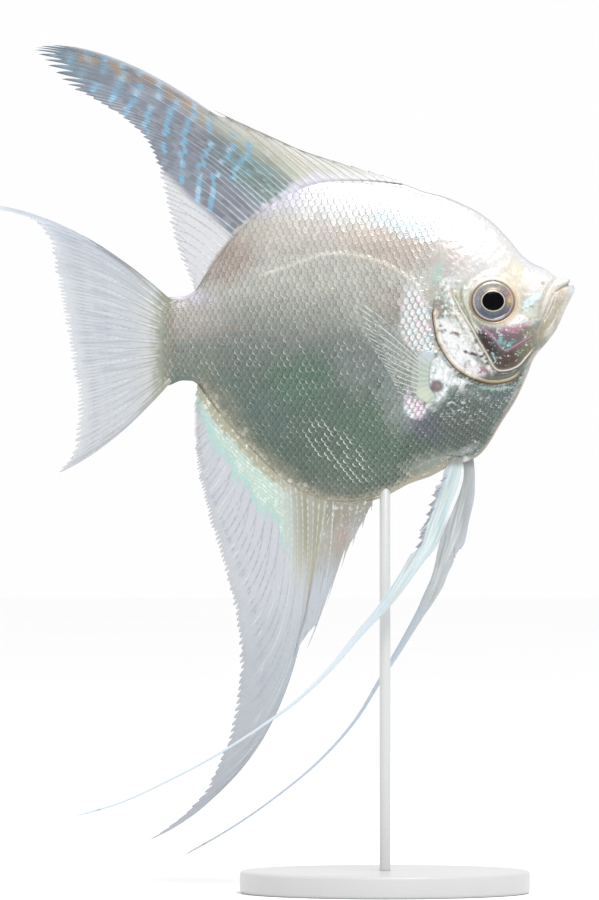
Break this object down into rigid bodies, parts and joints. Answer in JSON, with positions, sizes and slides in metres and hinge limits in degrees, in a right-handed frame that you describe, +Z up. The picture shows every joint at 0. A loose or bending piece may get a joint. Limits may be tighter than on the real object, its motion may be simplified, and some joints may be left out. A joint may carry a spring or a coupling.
{
  "type": "freshwater angelfish",
  "caption": "Still, life-size model of a freshwater angelfish with tall swept dorsal and anal fins, a fan tail and thread-like pelvic feelers, on a slim rod over a round base.",
  "frame": {"origin": "middle of the underside of the stand's round base, below the rod", "axes": "+X towards the snout, +Z up, -Y on the fish's right side"},
  "size_m": [0.1209, 0.058, 0.1696],
  "materials": {
    "skin": "silvery, satin, with fine scales",
    "face": "cream and pale pink, satin",
    "gill": "silver-white, glossy",
    "fin": "pale lavender grey, partly clear, satin",
    "feeler": "pale bluish white, satin",
    "eye": "dark, wet-looking gloss",
    "base": "white, satin",
    "enamel": "white enamel, semi-gloss"
  },
  "bodies": {
    "root": {"head": "face", "lower_jaw": "face", "gill_cover_right": "gill", "gill_cover_left": "gill", "eye_right": "eye", "eye_left": "eye", "trunk_front": "skin", "trunk_rear": "skin", "tail_stalk": "skin", "dorsal_fin_spiny": "fin", "dorsal_fin_soft": "fin", "anal_fin_spiny": "fin", "anal_fin_soft": "fin", "tail_fin": "fin", "pectoral_fin_right": "fin", "pectoral_fin_left": "fin", "pelvic_fin_right": "feeler", "feeler_right_inner": "feeler", "feeler_right_outer": "feeler", "pelvic_fin_left": "feeler", "feeler_left_inner": "feeler", "feeler_left_outer": "feeler", "stand_base": "base", "stand_rod": "enamel"}
  },
  "joints": []
}
